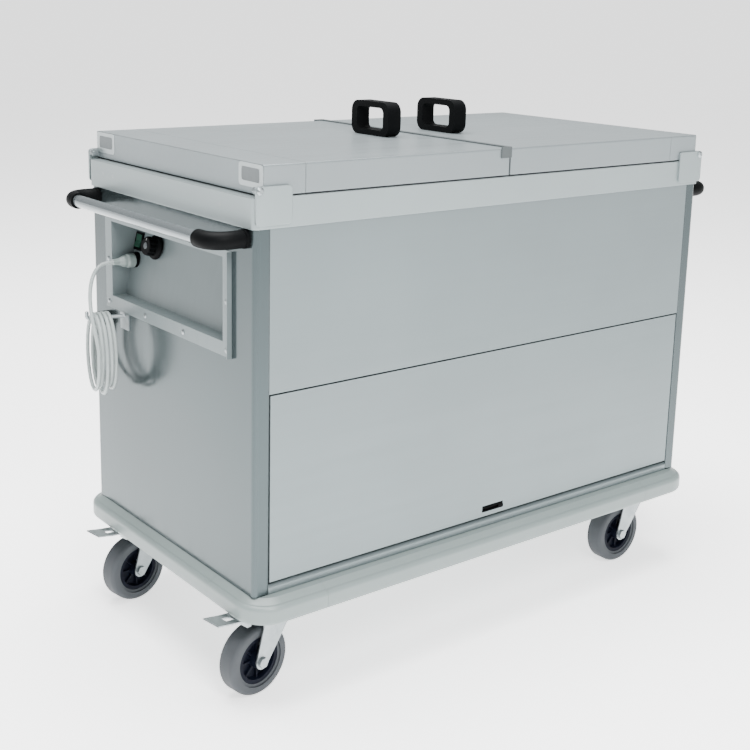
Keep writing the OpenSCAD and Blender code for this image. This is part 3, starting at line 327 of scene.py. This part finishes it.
# Knob face
# A spun metal cap let into the front of the moulded thermostat knob, with a pale
# pointer line painted beside it. Both turn with the knob.
knob_axis = Vector((-0.97635, 0, 0.21619))
knob_seat = Vector((-0.485857, 0.116, 0.720))
knob_out = 0.0266
cap_r, cap_top_r, cap_depth = 0.0062, 0.0056, 0.0008
line_wide, line_long, line_deep, line_edge = 0.0012, 0.0045, 0.0004, 0.00012
line_off, line_lift = 0.0118, 0.0001
face_on = Matrix.Translation(knob_seat) @ knob_axis.to_track_quat("Z", "Y").to_matrix().to_4x4()
spun, tree, shader = finish_of("spun_cap", (0.09, 0.10, 0.105), 0.8, 0.4)
mottle(tree, shader, noise_on(tree, 400), (0.08, 0.09, 0.094), (0.10, 0.112, 0.117))
cap = bmesh.new()
bmesh.ops.create_cone(cap, cap_ends=True, segments=40, radius1=cap_r, radius2=cap_top_r,
                      depth=cap_depth)
bmesh.ops.translate(cap, verts=cap.verts, vec=(0, 0, knob_out + cap_depth / 2))
bmesh.ops.transform(cap, matrix=face_on, verts=cap.verts)
knob_cap = keep_mesh(cap, "knob_cap", spun)
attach(knob_cap, "knob")
paint, tree, shader = finish_of("pointer_paint", (0.40, 0.41, 0.40), 0, 0.5)
mottle(tree, shader, noise_on(tree, 500), (0.36, 0.37, 0.36), (0.43, 0.44, 0.43))
line = bmesh.new()
bmesh.ops.create_cube(line, size=1)
bmesh.ops.scale(line, vec=(line_wide, line_long, line_deep), verts=line.verts)
round_off(line, line.edges[:], line_edge, 2)
bmesh.ops.translate(line, verts=line.verts, vec=(0, line_off, knob_out + line_lift))
bmesh.ops.transform(line, matrix=face_on, verts=line.verts)
knob_pointer = keep_mesh(line, "knob_pointer", paint)
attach(knob_pointer, "knob")

# Gasket
# A dark rubber strip that the lids close on, extruded, cut to length and laid on
# the rim.
rubber, tree, shader = finish_of("seal_rubber", (0.03, 0.033, 0.036), 0, 0.7)
mottle(tree, shader, noise_on(tree, 120), (0.022, 0.024, 0.027), (0.045, 0.048, 0.052))
dress(rubber, "rim_gasket")

# Seam strip
# A dark grey profile on the left lid that closes the seam between the lids,
# with its ends folded down over the skirts.
# The strip is given a flat dark grey tone.
seam_strip_dark, tree, shader = finish_of("seam_strip_dark", (0.052, 0.062, 0.064), 0, 0.6)
mottle(tree, shader, noise_on(tree, 70), (0.045, 0.054, 0.056), (0.062, 0.073, 0.075))
raise_by(tree, shader, noise_on(tree, 1100), 0.00006, 0.4)
dress(seam_strip_dark, "lid_strip")

# Switch rocker
# The rocker of the mains switch, moulded in green translucent plastic and shown
# unlit. It pivots in its black housing.
rocker, tree, shader = finish_of("rocker_green", (0.008, 0.045, 0.026), 0, 0.3)
mottle(tree, shader, noise_on(tree, 90), (0.006, 0.037, 0.021), (0.010, 0.055, 0.032))
dress(rocker, "switch_rocker")

# Zinc plated steel
# Pressed and turned steel parts with a bright zinc coat: castor forks and plates,
# brake pedals, hook, hinge pins, screws and pivots. The elements share the look.
zinc, tree, shader = finish_of("zinc_plate", (0.31, 0.34, 0.35), 0.85, 0.3)
mottle(tree, shader, spread(tree, noise_on(tree, 55), 0, 1), (0.27, 0.30, 0.31), (0.36, 0.39, 0.40))
raise_by(tree, shader, noise_on(tree, 300), 0.00005, 0.3)
dress(zinc, "heating_elements", "hinge_pins", "casing_screws", "cable_hook", "flap_pivots", "castor_plates",
      "brake_pedal_fl", "brake_pedal_bl", "castor_fork_fl", "castor_fork_fr", "castor_fork_bl",
      "castor_fork_br")

# Tyres
# Grey rubber with a rounded tread, moulded on each wheel's hub and slightly
# scuffed where it has rolled.
tread, tree, shader = finish_of("grey_tyre", (0.052, 0.057, 0.063), 0, 0.68)
shader.inputs["Specular IOR Level"].default_value = 0.3
mottle(tree, shader, noise_on(tree, 35, detail=6), (0.046, 0.051, 0.057), (0.06, 0.066, 0.073))
raise_by(tree, shader, noise_on(tree, 600), 0.0002, 0.5)
dress(tread, "tyre_fl", "tyre_fr", "tyre_bl", "tyre_br")

# Floor and light
# A plain pale floor that rises gently far away, an even pale surround and two
# large soft lights. The rise keeps the floor's far edge out of the picture.
floor_reach, far_rise, floor_glow = 60, 6, 1.5
ground = bmesh.new()
bmesh.ops.create_grid(ground, x_segments=3, y_segments=3, size=floor_reach)
for corner in ground.verts:
    if max(abs(corner.co.x), abs(corner.co.y)) > floor_reach / 2:
        corner.co.z = far_rise
floor_mesh = bpy.data.meshes.new("floor")
ground.to_mesh(floor_mesh)
ground.free()
floor = bpy.data.objects.new("floor", floor_mesh)
bpy.context.scene.collection.objects.link(floor)
pale, tree, shader = finish_of("pale_floor", (0.97, 0.97, 0.97), 0, 0.9)
shader.inputs["Emission Color"].default_value = (1, 1, 1, 1)
shader.inputs["Emission Strength"].default_value = floor_glow
floor_mesh.materials.append(pale)
surround = bpy.data.worlds.new("surround")
surround.use_nodes = True
backdrop = surround.node_tree.nodes["Background"]
backdrop.inputs["Color"].default_value = (0.97, 0.99, 1, 1)
backdrop.inputs["Strength"].default_value = 0.5
bpy.context.scene.world = surround


def soft_light(name, place, target, size, power):
    data = bpy.data.lights.new(name, "AREA")
    data.size = size
    data.energy = power
    lamp = bpy.data.objects.new(name, data)
    lamp.location = place
    lamp.rotation_euler = (Vector(target) - Vector(place)).to_track_quat("-Z", "Y").to_euler()
    bpy.context.scene.collection.objects.link(lamp)


soft_light("front", (-0.9, -2.1, 2.2), (-0.5, -0.3, 0.85), 1.0, 80)
soft_light("above", (-0.3, 0.2, 4.2), (0, 0, 0), 3.0, 560)
